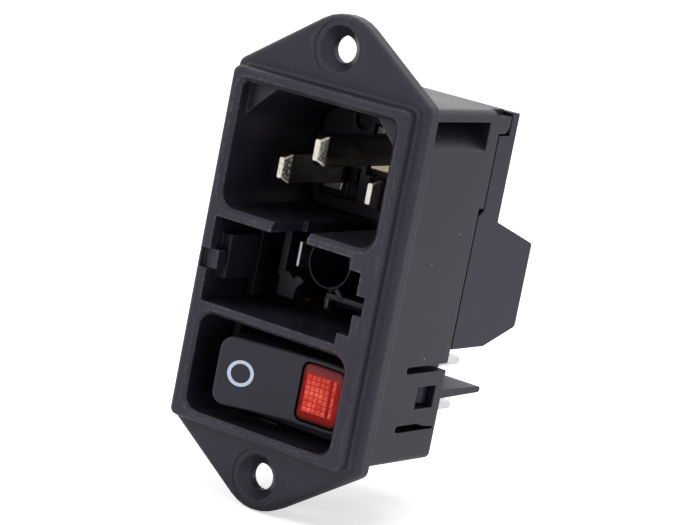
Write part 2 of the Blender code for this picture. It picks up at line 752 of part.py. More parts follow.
def setOrigin(body, x, at, z, turn=0.0):
    """Move a finished mesh's origin to a joint axis and turn it about Z into its rest pose."""
    point = Vector((x, depth(at), z))
    body.data.transform(Matrix.Translation(-point))
    body.location = point
    body.rotation_euler.z = turn


def poleHeights():
    return {"upper": switchHeight + poleSpacing / 2, "lower": switchHeight - poleSpacing / 2}


def switchHousing(surface):
    """Snap-in switch body with two pole chambers, terminal slots and the barrier between the tabs."""
    half = switchBayWidth / 2 - gap
    low, high = switchBayBottom + gap, switchBayTop - gap
    front = switchLipDepth + gap
    body = block(-half, half, front, switchBackDepth, low, high, "switch_housing")
    boss = switchBossWidth / 2
    join(body, block(-boss, boss, switchBackDepth - over, switchBossDepth, low + over, high - over))
    root, tip = barrierRoot / 2, barrierTip / 2
    plate = rounded([(switchBackDepth - over, switchHeight - root, 0),
                     (barrierDepth, switchHeight - tip, tip * 0.9),
                     (barrierDepth, switchHeight + tip, tip * 0.9),
                     (switchBackDepth - over, switchHeight + root, 0)],
                    math.radians(45))
    join(body, alongX(plate, -half, half))
    chamber = half - switchWall
    cut(body, block(-chamber, chamber, front - over, switchFloorDepth, low + switchWall, high - switchWall))
    wall = poleWallThickness / 2
    wallFront = rockerPivotDepth + 2.6 * mm
    join(body, block(-chamber - 0.2 * mm, chamber + 0.2 * mm, wallFront, switchFloorDepth + 0.2 * mm,
                     switchHeight - wall, switchHeight + wall))
    pivot = trunnionRadius + trunnionPlay
    cut(body, rod(pivot, (0, depth(rockerPivotDepth), low - over),
                  (0, depth(rockerPivotDepth), high + over), 32))
    for side in (-1, 1):
        face, crest = side * (half - 0.2 * mm), side * (half + hookRise)
        hook = [(face, windowFrontDepth + 0.4 * mm), (side * half, windowFrontDepth + 0.4 * mm),
                (crest, windowBackDepth - 1.1 * mm), (crest, windowBackDepth - gap),
                (face, windowBackDepth - gap)]
        join(body, alongZ(hook, windowBottom + gap, windowTop - gap))
    tail = inputTailWidth / 2 + inputTailRoom
    for height in poleHeights().values():
        tall, wide = tabThickness / 2 + slide, tabWidth / 2 + slide
        cut(body, block(tabPlace - wide, tabPlace + wide, switchFloorDepth - over, switchBossDepth + over,
                        height - tall, height + tall))
    cut(body, block(inputSlotLeft, inputSlotRight, inputStripDepth - gap, switchFloorDepth,
                    high - switchWall - over,
                    high + over),
        block(inputTailPlace - tail, inputTailPlace + tail, inputStripDepth - gap, switchFloorDepth,
              switchHeight - over,
              high + over))
    dress(body, surface, 35)
    return body


def capLoop(left, right, tall, radius, inset, level):
    """One closed ring of a rounded cap: columns along X, level gives the depth at each x."""
    radius = max(radius - inset * 0.5, 0.1 * mm)
    low, high, top = left + inset, right - inset, tall / 2 - inset
    corner = []
    for step in range(5):
        angle = math.radians(22.5 * step)
        corner.append((radius * (1 - math.cos(angle)), top - radius * (1 - math.sin(angle))))
    columns = [(low + x, z) for x, z in corner]
    first, last, steps = low + radius, high - radius, capColumns
    columns += [(first + (last - first) * step / steps, top) for step in range(1, steps)]
    columns += [(high - x, z) for x, z in reversed(corner)]
    upper = [Vector((x, depth(level(x)), switchHeight + z)) for x, z in columns]
    lower = [Vector((x, depth(level(x)), switchHeight - z)) for x, z in reversed(columns)]
    return upper + lower


def dishedCap(name, left, right, tall, radius, rim, lift, back):
    """Rounded cap whose front follows the rocker's dished face; back gives the depth of its far side."""
    loops = []
    for step in range(4):
        angle = math.radians(30 * step)
        drop = rim * (1 - math.cos(angle)) - lift
        loops.append(capLoop(left, right, tall, radius, rim * (1 - math.sin(angle)),
                             lambda x, drop=drop: faceDepth(x) + drop))
    loops.append(capLoop(left, right, tall, radius, 0.0, back))
    bm = bmesh.new()
    rings = [[bm.verts.new(point) for point in loop] for loop in loops]
    count = len(rings[0])
    for near, far in zip(rings, rings[1:]):
        for index in range(count):
            following = (index + 1) % count
            bm.faces.new((near[index], near[following], far[following], far[index]))
    for ring in (rings[0], rings[-1]):
        for index in range(count // 2 - 1):
            bm.faces.new((ring[index], ring[index + 1], ring[count - 2 - index], ring[count - 1 - index]))
    return meshObject(name, bm)


def faceDepth(x):
    """Depth of the rocker's face at x, before it is tilted."""
    return rockerPivotDepth - rockerReach - x * x / (2 * rockerDish)


def dishedSlab(left, right, tall, lift, thickness, name="tool"):
    """Slab whose front follows the rocker's dished face, lift in front of it."""
    steps = 6
    places = [left + (right - left) * step / steps for step in range(steps + 1)]
    outline = [(x, faceDepth(x) - lift) for x in places]
    outline += [(x, faceDepth(x) - lift + thickness) for x in reversed(places)]
    return alongZ(outline, switchHeight - tall / 2, switchHeight + tall / 2, name)


def rocker(surface):
    body = dishedCap("rocker", rockerLeft, rockerRight, rockerHeight, rockerCornerRadius, rockerRim, 0.0,
                     lambda x: rockerPivotDepth - rockerSkirt)
    left, right, wall = rockerLeft + rockerWall, rockerRight - rockerWall, rockerWall
    steps = 10
    places = [left + (right - left) * step / steps for step in range(steps + 1)]
    hollow = [(x, faceDepth(x) + wall) for x in places]
    hollow += [(right, rockerPivotDepth + over), (left, rockerPivotDepth + over)]
    tall = rockerHeight / 2 - wall
    cut(body, alongZ(hollow, switchHeight - tall, switchHeight + tall))
    half = lensHeight / 2 + slide
    cut(body, alongY(box2(lensLeft - slide, lensLeft + lensWidth + slide, switchHeight - half,
                          switchHeight + half,
                          lensCornerRadius + slide), 0.0, faceDepth(lensLeft) + lensWindowDepth))
    legTop = rockerPivotDepth - rockerReach + wall / 2
    legEnd = rockerPivotDepth + 5.2 * mm
    bore = plungerRadius + 0.15 * mm
    for side in (-1, 1):
        near, far = sorted((switchHeight + side * tall, switchHeight + side * rockerHeight / 2))
        join(body, block(-2.2 * mm, 2.2 * mm, legTop, rockerPivotDepth + 1.9 * mm, near, far))
    for height in poleHeights().values():
        join(body, rod(bore + plungerLegWall, (0, depth(legTop), height), (0, depth(legEnd), height), 24))
    reach = rockerHeight / 2 + gap + switchWall
    join(body, rod(trunnionRadius, (0, depth(rockerPivotDepth), switchHeight - reach),
                   (0, depth(rockerPivotDepth), switchHeight - reach + 2.0 * mm), 32),
         rod(trunnionRadius, (0, depth(rockerPivotDepth), switchHeight + reach - 2.0 * mm),
             (0, depth(rockerPivotDepth), switchHeight + reach), 32))
    boreEnd = rockerPivotDepth + springBack() - gap - plungerTravel
    for height in poleHeights().values():
        cut(body, rod(bore, (0, depth(boreEnd), height), (0, depth(legEnd) + over, height), 24))
    dress(body, surface, 40)
    setOrigin(body, 0, rockerPivotDepth, switchHeight, rockerHalfThrow)
    return body


def rockerLens(surface):
    """Red lens in the rocker's window, with a narrower neck and a hooked flange behind the face."""
    right = lensLeft + lensWidth
    body = dishedCap("rocker_lens", lensLeft, right, lensHeight, lensCornerRadius, lensRim, lensProud,
                     lambda x: faceDepth(x) + lensThickness)
    neck = rockerHeight - 2 * rockerWall - 2 * gap
    join(body, dishedSlab(lensLeft + 0.4 * mm, right - 0.4 * mm, neck, -lensThickness / 2, lensThickness),
         dishedSlab(lensLeft - slide - gap, right - 0.4 * mm, neck, -rockerWall - gap, lensFlange))
    dress(body, surface, 40)
    setOrigin(body, 0, rockerPivotDepth, switchHeight, rockerHalfThrow)
    return body


def lampParts(glass, ceramic):
    """Glow lamp behind the lens and its series resistor, both lying along Z inside the rocker."""
    result = []
    low, high = switchHeight - lampLength / 2, switchHeight + lampLength / 2
    place, at = lensLeft + lensWidth / 2, rockerPivotDepth - lampDepthInRocker
    lamp = turned([(0, 0), (0.7 * lampRadius, 0.1 * mm), (lampRadius, 0.7 * mm),
                   (lampRadius, lampLength - 0.9 * mm),
                   (0.5 * lampRadius, lampLength - 0.25 * mm), (0, lampLength)],
                  (place, depth(at), low), (0, 0, 1), 20, "neon_lamp")
    dress(lamp, glass, 50)
    edge = resistorLength / 2
    resistor = turned([(0, 0), (0.7 * resistorRadius, 0), (resistorRadius, 0.3 * mm),
                       (resistorRadius, 1.2 * mm),
                       (0.85 * resistorRadius, 1.5 * mm), (0.85 * resistorRadius, resistorLength - 1.5 * mm),
                       (resistorRadius, resistorLength - 1.2 * mm),
                       (resistorRadius, resistorLength - 0.3 * mm),
                       (0.7 * resistorRadius, resistorLength), (0, resistorLength)],
                      (-4.4 * mm, depth(rockerPivotDepth - 5.0 * mm), switchHeight - edge), (0, 0, 1), 16,
                      "lamp_resistor")
    dress(resistor, ceramic, 50)
    for body in (lamp, resistor):
        setOrigin(body, 0, rockerPivotDepth, switchHeight, rockerHalfThrow)
        result.append(body)
    return result


def springBack():
    """Place of the spring's far end along the leg, counted from the rocker's pivot."""
    return -2.7 * mm


def plungers(brass, steel):
    """Round-nosed contact plungers in the rocker's legs, each with its spring behind it."""
    back = 3.0 * mm
    for pole, height in poleHeights().items():
        profile = [(0, -plungerReach)]
        for step in range(1, 5):
            angle = math.radians(22.5 * step)
            profile.append((plungerRadius * math.sin(angle), plungerRadius * (1 - math.cos(angle)) - plungerReach))
        profile += [(plungerRadius, -back), (0.45 * mm, -back), (0.45 * mm, 1.0 * mm - back),
                    (0, 1.0 * mm - back)]
        body = turned(profile, (0, depth(rockerPivotDepth), height), (0, -1, 0), 20, "plunger_" + pole)
        dress(body, brass, 40)
        setOrigin(body, 0, rockerPivotDepth, switchHeight, rockerHalfThrow)
        spring = coil("plunger_spring_" + pole, plungerRadius - springWire / 2, springWire / 2,
                      rockerPivotDepth + springBack(), rockerPivotDepth + back - gap, height)
        dress(spring, steel, 60)
        setOrigin(spring, 0, rockerPivotDepth, switchHeight, rockerHalfThrow)


def coil(name, radius, wire, front, back, height):
    """Compression spring along Y: a round wire swept along a helix."""
    perTurn, sides = 12, 6
    total = springTurns * perTurn
    loops = []
    rise = (back - front - 2 * wire) / total
    for step in range(total + 1):
        angle = 2 * math.pi * step / perTurn
        out = Vector((math.cos(angle), 0, math.sin(angle)))
        centre = Vector((0, depth(front + wire + rise * step), height)) + out * radius
        tangent = Vector((-math.sin(angle) * radius, rise * perTurn / (2 * math.pi),
                          math.cos(angle) * radius))
        up = tangent.normalized().cross(out)
        loops.append([centre + out * (wire * math.cos(turn)) + up * (wire * math.sin(turn))
                      for turn in (2 * math.pi * side / sides for side in range(sides))])
    return meshObject(name, loftMesh(loops))


def contactArms(copper):
    """Seesaw arms, one to each pole, bent to a shallow V and carrying a rivet at the fixed contact."""
    floor = rockerPivotDepth + plungerReach + 0.1 * mm
    knife = floor + armThickness + gap
    half = armLength / 2
    rise = half * math.tan(armTilt)
    for pole, height in poleHeights().items():
        outline = [(-half, floor - rise), (0, floor), (half, floor - rise),
                   (half, floor - rise + armThickness),
                   (0, floor + armThickness), (-half, floor - rise + armThickness)]
        body = alongZ(outline, height - armWidth / 2, height + armWidth / 2, "contact_arm_" + pole)
        slope = Vector((math.sin(armTilt), math.cos(armTilt), 0))
        seat = Vector((-contactPlace, depth(floor + armThickness - contactPlace * math.tan(armTilt)), height))
        join(body, rod(contactRivetRadius, seat - slope * 0.3 * mm, seat + slope * contactRivetHeight, 20))
        dress(body, copper, 35)
        setOrigin(body, 0, knife, switchHeight, -armTilt)


def fixedTerminals(copper, tin):
    """Fixed contact strips on the chamber floor and the output terminals with their tabs."""
    floor = rockerPivotDepth + plungerReach + 0.1 * mm
    knife = floor + armThickness + gap
    rivet = floor + armThickness + contactRivetHeight + gap
    strip = inputStripDepth
    poles = poleHeights()
    for pole, height in poles.items():
        if pole == "upper":
            outline = box2(-contactPlace - inputPadHalf, -contactPlace + inputPadHalf, height - 1.3 * mm, -7.9 * mm)
            body = alongY(outline, strip, strip + stripThickness, "input_contact_upper")
        else:
            left, right = inputTailPlace - inputTailWidth / 2, inputTailPlace + inputTailWidth / 2
            end, low, high = -contactPlace + inputPadHalf, height - inputPadHalf, height + inputPadHalf
            outline = [(left, inputTailTop), (left, low), (end, low), (end, high), (right, high),
                       (right, inputTailTop)]
            body = alongY(outline, strip, strip + stripThickness, "input_contact_lower")
            join(body, block(left, right, strip + stripThickness / 2, shellShoulderDepth,
                             inputTailTop - stripThickness, inputTailTop))
        join(body, rod(contactRivetRadius, (-contactPlace, depth(rivet), height),
                       (-contactPlace, depth(strip + stripThickness / 2), height), 20))
        dress(body, copper, 35)
        edge = tabPlace + tabWidth / 2
        terminal = block(-1.4 * mm, edge, strip, strip + stripThickness, height - armWidth / 2,
                         height + armWidth / 2, "output_terminal_" + pole)
        join(terminal, alongZ([(-0.8 * mm, strip + 0.1 * mm), (0, knife + 0.05 * mm),
                               (0.8 * mm, strip + 0.1 * mm)],
                              height - armWidth / 2 + 0.1 * mm, height + armWidth / 2 - 0.1 * mm))
        left = tabPlace - tabWidth / 2
        tab = rounded([(left, strip + 0.1 * mm, 0), (edge, strip + 0.1 * mm, 0),
                       (edge, tabEndDepth, 1.0 * mm),
                       (left, tabEndDepth, 1.0 * mm)], math.radians(45))
        join(terminal, alongZ(tab, height - tabThickness / 2, height + tabThickness / 2))
        eye = depth(tabEndDepth - 2.6 * mm)
        cut(terminal, rod(0.7 * mm, (tabPlace, eye, height - over), (tabPlace, eye, height + over), 16))
        dress(terminal, tin, 35)


def fuseContacts(copper):
    """Leaf beside the fuse tube and the disc at its end."""
    left = -leafPlace - stripThickness / 2
    body = block(left, left + leafThickness, carrierDepth, leafBackDepth, leafBottom, leafTop,
                 "fuse_side_contact")
    join(body, block(left, left + stripThickness, leafTailDepth, leafBackDepth, leafTailBottom,
                     leafBottom + stripThickness))
    dress(body, copper, 35)
    end = carrierBackDepth + gap
    disc = carrierBackDepth - fuseSeatWall - gap
    edge = stripThickness / 2
    stem = end - disc + 2 * stripThickness
    body = turned([(0, 0), (endContactRadius - edge, 0), (endContactRadius, edge),
                   (endContactRadius, stripThickness), (endContactStem, stripThickness),
                   (endContactStem, stem),
                   (0, stem)],
                  (0, depth(disc - stripThickness), fuseTubeHeight), (0, 1, 0), 24, "fuse_end_contact")
    join(body, block(-endContactReach, 2 * endContactStem, end, end + stripThickness, -endContactRadius / 2,
                     endContactRadius / 2))
    dress(body, copper, 35)


def links(copper):
    """Straps inside the hood that join the blades to the fuse and to the switch."""
    front = bladeTailDepth + gap
    end = carrierBackDepth + gap + stripThickness + gap
    thin = linkThickness
    profile = [(front, lineLinkTop), (front + thin, lineLinkTop), (front + thin, lineLinkStep),
               (end + thin, lineLinkStep), (end + thin, lineLinkBottom), (end, lineLinkBottom),
               (end, lineLinkStep - thin), (front, lineLinkStep - thin)]
    half = lineLinkWidth / 2
    body = alongX(profile, -bladePitch / 2 - half, -bladePitch / 2 + half, "line_link")
    dress(body, copper, 35)
    near = bladePitch / 2 - bladeTailThickness / 2 - gap
    outline = [(near, neutralLinkTop), (near - neutralLinkWidth / 2, neutralLinkTop),
               (near - neutralLinkWidth / 2, neutralLinkShoulder), (neutralLinkLeft, neutralLinkShoulder),
               (neutralLinkLeft, neutralLinkBottom), (neutralLinkLeft + neutralLinkWidth, neutralLinkBottom),
               (neutralLinkLeft + neutralLinkWidth, neutralLinkShoulder - neutralLinkWidth),
               (near, neutralLinkShoulder - neutralLinkWidth)]
    start = shellShoulderDepth + gap
    body = alongY(outline, start, start + linkThickness, "neutral_link")
    dress(body, copper, 35)


def main():
    clearScene()
    black = material("black_plastic", (0.055, 0.055, 0.065), 0.48)
    darker = material("switch_plastic", (0.05, 0.05, 0.06), 0.42)
    rockerBlack = material("rocker_plastic", (0.075, 0.075, 0.095), 0.4)
    nickel = material("nickel_plated_brass", (0.8, 0.79, 0.75), 0.2, 1.0)
    tin = material("tinned_brass", (0.82, 0.81, 0.78), 0.32, 1.0)
    copper = material("copper_alloy", (0.75, 0.5, 0.32), 0.35, 1.0)
    steel = material("spring_steel", (0.6, 0.6, 0.6), 0.3, 1.0)
    red = material("red_lens", (0.85, 0.06, 0.03), 0.12)
    glass = material("lamp_glass", (0.85, 0.8, 0.75), 0.08)
    ceramic = material("resistor_body", (0.55, 0.42, 0.3), 0.6)
    frontHousing(black)
    rearCover(black)
    pinCarrier(black)
    inletBlades(nickel)
    fuseCarrier(black)
    fuseContacts(copper)
    links(copper)
    switchHousing(darker)
    rocker(rockerBlack)
    rockerLens(red)
    lampParts(glass, ceramic)
    plungers(nickel, steel)
    contactArms(copper)
    fixedTerminals(copper, tin)


main()
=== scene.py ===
# Panel-mount mains inlet with a fuse-drawer bay and a lit rocker switch
import bpy
import bmesh
import math
from mathutils import Matrix, Vector


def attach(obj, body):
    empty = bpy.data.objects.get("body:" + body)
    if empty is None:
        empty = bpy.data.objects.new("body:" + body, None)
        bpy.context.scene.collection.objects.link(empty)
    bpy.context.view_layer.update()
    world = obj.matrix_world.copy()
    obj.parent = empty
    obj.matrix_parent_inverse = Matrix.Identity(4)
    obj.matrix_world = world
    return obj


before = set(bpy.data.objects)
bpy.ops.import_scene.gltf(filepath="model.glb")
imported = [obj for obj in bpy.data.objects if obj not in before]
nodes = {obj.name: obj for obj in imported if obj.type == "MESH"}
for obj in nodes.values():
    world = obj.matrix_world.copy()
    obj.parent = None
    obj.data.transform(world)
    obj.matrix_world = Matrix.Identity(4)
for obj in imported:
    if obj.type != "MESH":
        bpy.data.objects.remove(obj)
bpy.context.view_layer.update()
mm = 0.001
print("frame loaded,", len(nodes), "nodes")

# Camera: the photograph's place and tilt
shot = {"place": (0.2077, -0.3099, 0.0663), "azimuth": 33.03, "elevation": 9.87, "roll": 11.17,
        "lens": 152.9, "sensor": 36, "clip": 0.01}


def setCamera():
    data = bpy.data.cameras.new("shotCamera")
    data.lens = shot["lens"]
    data.sensor_width = shot["sensor"]
    data.clip_start = shot["clip"]
    camera = bpy.data.objects.new("shotCamera", data)
    bpy.context.scene.collection.objects.link(camera)
    turn = Matrix.Rotation(math.radians(shot["azimuth"]), 4, "Z")
    tip = Matrix.Rotation(math.radians(90 - shot["elevation"]), 4, "X")
    roll = Matrix.Rotation(math.radians(shot["roll"]), 4, "Z")
    camera.matrix_world = Matrix.Translation(shot["place"]) @ turn @ tip @ roll
    bpy.context.scene.camera = camera


# Materials: small helpers
class Wire:  # a socket that takes part in sums like a number
    def __init__(self, finish, socket):
        self.finish, self.socket = finish, socket

    def calc(self, operation, *terms, clamp=False):
        settings = {"operation": operation, "use_clamp": clamp}
        return self.finish.add("ShaderNodeMath", settings, dict(enumerate(terms)))

    def __add__(self, other):
        return self.calc("ADD", self, other)

    def __radd__(self, other):
        return self.calc("ADD", other, self)

    def __sub__(self, other):
        return self.calc("SUBTRACT", self, other)

    def __rsub__(self, other):
        return self.calc("SUBTRACT", other, self)

    def __mul__(self, other):
        return self.calc("MULTIPLY", self, other)

    def __rmul__(self, other):
        return self.calc("MULTIPLY", other, self)

    def within(self):  # held between 0 and 1
        return self.calc("ADD", self, 0, clamp=True)


class Finish:  # one material and its node tree
    titles = {"base": "Base Color", "rough": "Roughness", "metal": "Metallic", "normal": "Normal",
              "coat": "Coat Weight", "alpha": "Alpha", "specular": "Specular IOR Level",
              "specularTint": "Specular Tint"}

    def __init__(self, name, shown):
        self.material = bpy.data.materials.new(name)
        self.material.use_nodes = True
        self.material.diffuse_color = (*shown, 1)
        self.tree = self.material.node_tree
        self.shader = self.tree.nodes["Principled BSDF"]
        self.output = self.tree.nodes["Material Output"]
        self.place = self.add("ShaderNodeTexCoord", out="Object")

    def feed(self, socket, item):
        if isinstance(item, Wire):
            self.tree.links.new(item.socket, socket)
        elif isinstance(item, tuple) and len(item) == 3 and len(socket.default_value) == 4:
            socket.default_value = (*item, 1)
        else:
            socket.default_value = item

    def add(self, kind, settings=None, inputs=None, out=0):
        node = self.tree.nodes.new(kind)
        for name, value in (settings or {}).items():
            if name == "stops":
                while len(node.color_ramp.elements) < len(value):
                    node.color_ramp.elements.new(0.5)
                for element, (position, colour) in zip(node.color_ramp.elements, value):
                    element.position, element.color = position, (*colour, 1)
            else:
                setattr(node, name, value)
        for name, item in (inputs or {}).items():
            self.feed(node.inputs[name], item)
        return Wire(self, node.outputs[out])

    def noise(self, scale, detail=2.0, rough=0.5, place=None):
        inputs = {"Vector": place or self.place, "Scale": scale, "Detail": detail, "Roughness": rough}
        return self.add("ShaderNodeTexNoise", inputs=inputs)

    def stretched(self, x, y, z):
        return self.add("ShaderNodeMapping", inputs={"Vector": self.place, "Scale": (x, y, z)})

    def along(self, axis):
        return self.add("ShaderNodeSeparateXYZ", inputs={0: self.place}, out=axis)

    def between(self, value, low, high, first=0.0, last=1.0):
        return self.add("ShaderNodeMapRange", {"clamp": True},
                        {0: value, 1: low, 2: high, 3: first, 4: last})

    def blend(self, factor, first, second):
        return self.add("ShaderNodeMix", {"data_type": "RGBA"}, {0: factor, 6: first, 7: second}, out=2)

    def softened(self, radius):
        return self.add("ShaderNodeBevel", {"samples": 4}, {"Radius": radius})

    def edges(self, bevel, low, high):  # 1 where the softened normal leaves the flat one
        flat = self.add("ShaderNodeNewGeometry", out="Normal")
        facing = self.add("ShaderNodeVectorMath", {"operation": "DOT_PRODUCT"}, {0: bevel, 1: flat},
                          out="Value")
        return self.between(1 - facing, low, high)

    def bump(self, height, distance, strength, normal=None):
        inputs = {"Height": height, "Distance": distance, "Strength": strength}
        if normal:
            inputs["Normal"] = normal
        return self.add("ShaderNodeBump", inputs=inputs)

    def set(self, **sockets):
        for name, item in sockets.items():
            self.feed(self.shader.inputs[self.titles[name]], item)
        return self.material


# Moulded plastic: fine spark-eroded texture, soft edges, pale scuffs and dust specks; painted shade deep
# in recesses and a painted highlight on the pale worn edges
# the pale edge colour is edge wear and scuffs, and on the edges also a painted highlight
housingPlastic = {"colour": (0.0125, 0.0112, 0.0185), "pale": (0.0180, 0.0165, 0.0265),
                  "wearAndHighlight": (0.190, 0.190, 0.220), "dust": (0.30, 0.30, 0.33), "rough": 0.31,
                  "grain": 0.012 * mm, "edge": 0.30 * mm, "specks": 0.9, "shine": 0.42,
                  "cast": (0.90, 0.89, 1.0)}
coverPlastic = {"colour": (0.0130, 0.0115, 0.0220), "pale": (0.0170, 0.0155, 0.0285),
                "wearAndHighlight": (0.050, 0.049, 0.060), "dust": (0.20, 0.20, 0.22), "rough": 0.33,
                "grain": 0.010 * mm, "edge": 0.25 * mm, "specks": 0.2, "shine": 0.38,
                "cast": (0.82, 0.80, 1.0)}
switchPlastic = {"colour": (0.015, 0.0150, 0.026), "pale": (0.019, 0.0190, 0.031),
                 "wearAndHighlight": (0.045, 0.044, 0.052), "dust": (0.20, 0.20, 0.22), "rough": 0.36,
                 "grain": 0.008 * mm, "edge": 0.15 * mm, "specks": 0.3, "shine": 0.42,
                 "cast": (0.85, 0.86, 1.0)}
rockerPlastic = {"colour": (0.0105, 0.0095, 0.0165), "pale": (0.0135, 0.0125, 0.020),
                 "wearAndHighlight": (0.040, 0.039, 0.048), "dust": (0.16, 0.16, 0.18), "rough": 0.44,
                 "grain": 0.010 * mm, "edge": 0.18 * mm, "specks": 0.15, "shine": 0.46,
                 "cast": (0.93, 0.91, 1.0)}
# What all four share: noise scales per metre, then lengths, and how dark the painted shade in recesses
# gets
moulding = {"cloud": 140, "flow": 55, "grain": 5200, "ripple": 2100, "chips": 2000, "chipAreas": 130,
            "specks": 420, "speckAreas": 260, "scuffs": 1500, "scuffAreas": 170,
            "recess": 9 * mm, "rim": 0.65 * mm, "front": -4 * mm, "panel": -1 * mm, "paintedShadeLevel": 0.1}


def mouldedPlastic(name, look):
    f = Finish(name, look["colour"])
    cloud = f.between(f.noise(moulding["cloud"], 3), 0.35, 0.65)
    flow = f.between(f.noise(moulding["flow"], 2, place=f.stretched(1, 1, 0.35)), 0.4, 0.62)
    grain = f.noise(moulding["grain"], 2, 0.6)
    exposure = f.add("ShaderNodeAmbientOcclusion", {"samples": 6}, {"Distance": moulding["recess"]},
                     out="AO")
    bare = f.between(exposure, 0.20, 0.80)  # 0 deep in a recess, 1 outside
    bevel = f.softened(look["edge"])
    edge = f.edges(f.softened(moulding["rim"]), 0.02, 0.14)
    # the front is touched most
    handled = f.between(f.along("Y"), moulding["front"], moulding["panel"], 1, 0.15)
    chipped = 0.5 + 0.5 * f.between(f.noise(moulding["chipAreas"], 2), 0.50, 0.62)
    broken = f.between(f.noise(moulding["chips"], 4), 0.40, 0.64) * chipped * handled
    cell = f.add("ShaderNodeTexVoronoi", {"feature": "F1"},
                 {"Vector": f.place, "Scale": moulding["specks"]}, out="Distance")
    dusty = f.between(f.noise(moulding["speckAreas"], 1), 0.58, 0.66)
    speck = f.between(cell, 0.04, 0.07, 1, 0) * dusty * look["specks"] * bare
    rubbed = f.between(f.noise(moulding["scuffAreas"]), 0.52, 0.6)
    strokes = f.noise(moulding["scuffs"], 2, place=f.stretched(1, 0.2, 0.12))
    scuff = f.between(strokes, 0.66, 0.74) * rubbed
    colour = f.blend(cloud * 0.6 + flow * 0.4, look["colour"], look["pale"])
    # painted shade: toward the inside of a recess the colour falls to a tenth (ambient occlusion)
    deep = tuple(c * moulding["paintedShadeLevel"] for c in look["colour"])
    colour = f.blend(0.1 + 0.9 * bare, deep, colour)
    # pale rubbed edges and scuffs; on the edges this pale colour is also a painted highlight
    colour = f.blend(((edge * broken * 0.7 + scuff * 0.10) * bare).within(), colour, look["wearAndHighlight"])
    colour = f.blend(speck.within(), colour, look["dust"])
    rough = look["rough"] + cloud * 0.05 - flow * 0.04 + (grain - 0.5) * 0.12 + (1 - bare) * 0.15
    relief = f.bump(grain * 0.7 + f.noise(moulding["ripple"], 2) * 0.3, look["grain"], 0.6, bevel)
    return f.set(base=colour, rough=rough.within(), specular=look["shine"],
                 specularTint=look["cast"], normal=relief)


# Plated metal: nickel on the blades, tin on the tabs, bare copper alloy inside
# nickel's brownish dull patches are tarnish and also a painted warm reflection
nickel = {"colour": (0.72, 0.69, 0.63), "dull": (0.50, 0.40, 0.29), "rough": 0.13, "pits": 0.06 * mm}
tin = {"colour": (0.80, 0.80, 0.80), "dull": (0.58, 0.58, 0.57), "rough": 0.30, "pits": 0.016 * mm}
copper = {"colour": (0.72, 0.42, 0.22), "dull": (0.45, 0.24, 0.12), "rough": 0.32, "pits": 0.010 * mm}
springSteel = {"colour": (0.50, 0.49, 0.47), "dull": (0.32, 0.31, 0.30), "rough": 0.28,
               "pits": 0.006 * mm}
plating = {"patches": 420, "drawn": 1500, "pits": 3400, "relief": 2400, "rim": 0.22 * mm, "lift": 1.15}


def platedMetal(name, look):
    f = Finish(name, look["colour"])
    patches = f.between(f.noise(plating["patches"], 4), 0.42, 0.66)
    drawn = f.noise(plating["drawn"], 2, place=f.stretched(1, 0.05, 1))
    pit = f.between(f.noise(plating["pits"], 2), 0.60, 0.72)
    bevel = f.softened(plating["rim"])
    edge = f.edges(bevel, 0.02, 0.3)
    colour = f.blend(patches * 0.6 + pit * 0.4, look["colour"], look["dull"])
    colour = f.blend(edge * 0.5, colour, tuple(min(1, c * plating["lift"]) for c in look["colour"]))
    rough = look["rough"] + patches * 0.07 + (drawn - 0.5) * 0.08 + pit * 0.12
    height = f.noise(plating["relief"], 2) * 0.6 + drawn * 0.1 - pit * 0.3
    relief = f.bump(height, look["pits"], 0.7, bevel)
    return f.set(base=colour, metal=1.0, rough=rough.within(), normal=relief)


# The lens: deep red under the prisms; above them a milky band that is a painted reflection; painted shade
# by its left wall and at its upper edge, and a darker strip at its lower edge
lens = {"colour": (0.20, 0.006, 0.005), "deep": (0.40, 0.010, 0.006), "thick": (0.045, 0.007, 0.008),
        "rough": 0.22, "shine": 0.08, "cloud": 900, "relief": 1800, "ripple": 0.003 * mm,
        "bottom": -19.1 * mm, "top": -11.65 * mm, "wall": 3.9 * mm, "clear": 4.5 * mm,
        "paintedLightBands": ((0.0, (0.060, 0.005, 0.005)), (0.05, (0.065, 0.005, 0.005)),
                  (0.09, (0.22, 0.005, 0.003)), (0.84, (0.22, 0.034, 0.032)),
                  (0.90, (0.18, 0.034, 0.033)), (0.95, (0.16, 0.030, 0.030)))}


def redPlastic(name, first, second, rough, shade=None):
    f = Finish(name, first)
    cloud = f.between(f.noise(lens["cloud"], 2), 0.35, 0.65)
    colour = f.blend(cloud, first, second)
    if shade:
        height = f.between(f.along("Z"), lens["bottom"], lens["top"])
        # painted light by height: a dark strip at the bottom, painted shade at the top edge and a milky
        # painted reflection just under it
        band = f.add("ShaderNodeValToRGB", {"stops": lens["paintedLightBands"]}, {"Fac": height})
        middle = f.between(height, 0.14, 0.18) * f.between(height, 0.80, 0.86, 1, 0)
        colour = f.blend(middle, band, colour)
        # painted shade by the lens's left wall
        colour = f.blend(f.between(f.along("X"), lens["wall"], lens["clear"], 1, 0), colour, shade)
    relief = f.bump(f.noise(lens["relief"], 2), lens["ripple"], 0.5)
    return f.set(base=colour, rough=rough + cloud * 0.05, specular=lens["shine"], normal=relief)


# Small parts in the rocker
glass = {"shown": (0.7, 0.6, 0.5), "clear": (0.75, 0.68, 0.6), "film": (0.55, 0.4, 0.3), "cloud": 600}
ceramic = {"shown": (0.5, 0.38, 0.24), "colour": (0.50, 0.37, 0.22), "dark": (0.40, 0.28, 0.16),
           "cloud": 700, "relief": 0.01 * mm}


def lampGlass(name):
    f = Finish(name, glass["shown"])
    film = f.between(f.noise(glass["cloud"], 2), 0.4, 0.7)
    colour = f.blend(film, glass["clear"], glass["film"])
    return f.set(base=colour, rough=0.06 + film * 0.1, alpha=0.45 + film * 0.2, coat=1.0)


